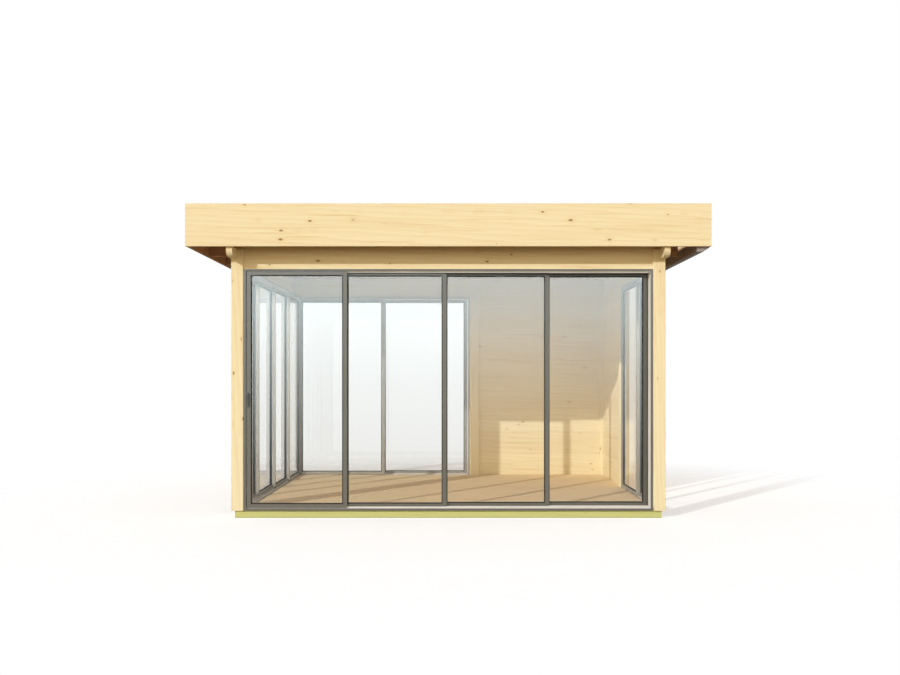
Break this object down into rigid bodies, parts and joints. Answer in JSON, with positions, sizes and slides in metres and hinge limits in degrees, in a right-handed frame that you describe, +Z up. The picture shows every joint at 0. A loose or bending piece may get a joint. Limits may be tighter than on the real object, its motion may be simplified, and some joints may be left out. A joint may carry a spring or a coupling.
{
  "type": "flat-roofed log and post garden cabin with sliding glass walls",
  "caption": "Flat-roofed timber garden cabin on a low foundation frame, with corner posts, log walls at one rear corner and full-height sliding glass walls.",
  "frame": {"origin": "on the ground, under the middle of the roof", "axes": "+X to the right and +Y to the back as seen from the front, +Z up"},
  "size_m": [4.48, 3.52, 2.714],
  "materials": {
    "planed_timber": "planed spruce posts, beams, headers and fascia boards",
    "log_timber": "planed spruce wall logs",
    "treated_timber": "pressure-treated foundation timber",
    "floor_timber": "planed floor boards",
    "roof_timber": "rough roof timber",
    "roof_rubber": "black roofing rubber",
    "gutter_metal": "grey coated gutter",
    "clear_glass": "clear toughened glass",
    "track_aluminium": "warm grey coated frame",
    "panel_aluminium": "warm grey coated stiles and rails",
    "dark_handle": "dark coated pull"
  },
  "bodies": {
    "cabin": {"closing_boards": "planed_timber", "fixed_glass": "clear_glass", "floor_bearers": "treated_timber", "floor_boards": "floor_timber", "front_door_frame": "track_aluminium", "front_fascia": "planed_timber", "front_foundation_beam": "treated_timber", "front_header": "planed_timber", "front_left_post": "planed_timber", "front_panel_4": "panel_aluminium", "front_right_post": "planed_timber", "gutter": "gutter_metal", "left_door_frame": "track_aluminium", "left_fascia": "planed_timber", "left_header": "planed_timber", "left_jamb_strip": "planed_timber", "left_panel_4": "panel_aluminium", "left_roof_beam": "planed_timber", "rear_door_frame": "track_aluminium", "rear_fascia": "planed_timber", "rear_foundation_beam": "treated_timber", "rear_header": "planed_timber", "rear_left_post": "planed_timber", "rear_log_wall": "log_timber", "rear_middle_post": "planed_timber", "rear_panel_2": "panel_aluminium", "rear_right_post": "planed_timber", "right_door_frame": "track_aluminium", "right_fascia": "planed_timber", "right_header": "planed_timber", "right_log_wall": "log_timber", "right_middle_post": "planed_timber", "right_panel_2": "panel_aluminium", "right_roof_beam": "planed_timber", "roof_boards": "roof_timber", "roof_cover": "roof_rubber", "roof_joists": "roof_timber", "side_foundation_beams": "treated_timber"},
    "front_panel_1": {"front_panel_1": "panel_aluminium", "front_glass_1": "clear_glass", "front_handle": "dark_handle"},
    "front_panel_2": {"front_panel_2": "panel_aluminium", "front_glass_2": "clear_glass"},
    "front_panel_3": {"front_panel_3": "panel_aluminium", "front_glass_3": "clear_glass"},
    "left_panel_1": {"left_panel_1": "panel_aluminium", "left_glass_1": "clear_glass", "left_handle": "dark_handle"},
    "left_panel_2": {"left_panel_2": "panel_aluminium", "left_glass_2": "clear_glass"},
    "left_panel_3": {"left_panel_3": "panel_aluminium", "left_glass_3": "clear_glass"},
    "rear_panel_1": {"rear_panel_1": "panel_aluminium", "rear_glass_1": "clear_glass", "rear_handle": "dark_handle"},
    "right_panel_1": {"right_panel_1": "panel_aluminium", "right_glass_1": "clear_glass", "right_handle": "dark_handle"}
  },
  "joints": [
    {"name": "front_panel_1_slide", "type": "slide", "parent": "cabin", "child": "front_panel_1", "axis": [1, 0, 0], "range_m": [0, 2.652]},
    {"name": "front_panel_2_slide", "type": "slide", "parent": "cabin", "child": "front_panel_2", "axis": [1, 0, 0], "range_m": [0, 1.781]},
    {"name": "front_panel_3_slide", "type": "slide", "parent": "cabin", "child": "front_panel_3", "axis": [1, 0, 0], "range_m": [0, 0.875]},
    {"name": "left_panel_1_slide", "type": "slide", "parent": "cabin", "child": "left_panel_1", "axis": [0, 1, 0], "range_m": [0, 2.0318]},
    {"name": "left_panel_2_slide", "type": "slide", "parent": "cabin", "child": "left_panel_2", "axis": [0, 1, 0], "range_m": [0, 1.3545]},
    {"name": "left_panel_3_slide", "type": "slide", "parent": "cabin", "child": "left_panel_3", "axis": [0, 1, 0], "range_m": [0, 0.6773]},
    {"name": "rear_panel_1_slide", "type": "slide", "parent": "cabin", "child": "rear_panel_1", "axis": [-1, 0, 0], "range_m": [0, 0.978]},
    {"name": "right_panel_1_slide", "type": "slide", "parent": "cabin", "child": "right_panel_1", "axis": [0, 1, 0], "range_m": [0, 0.723]}
  ]
}
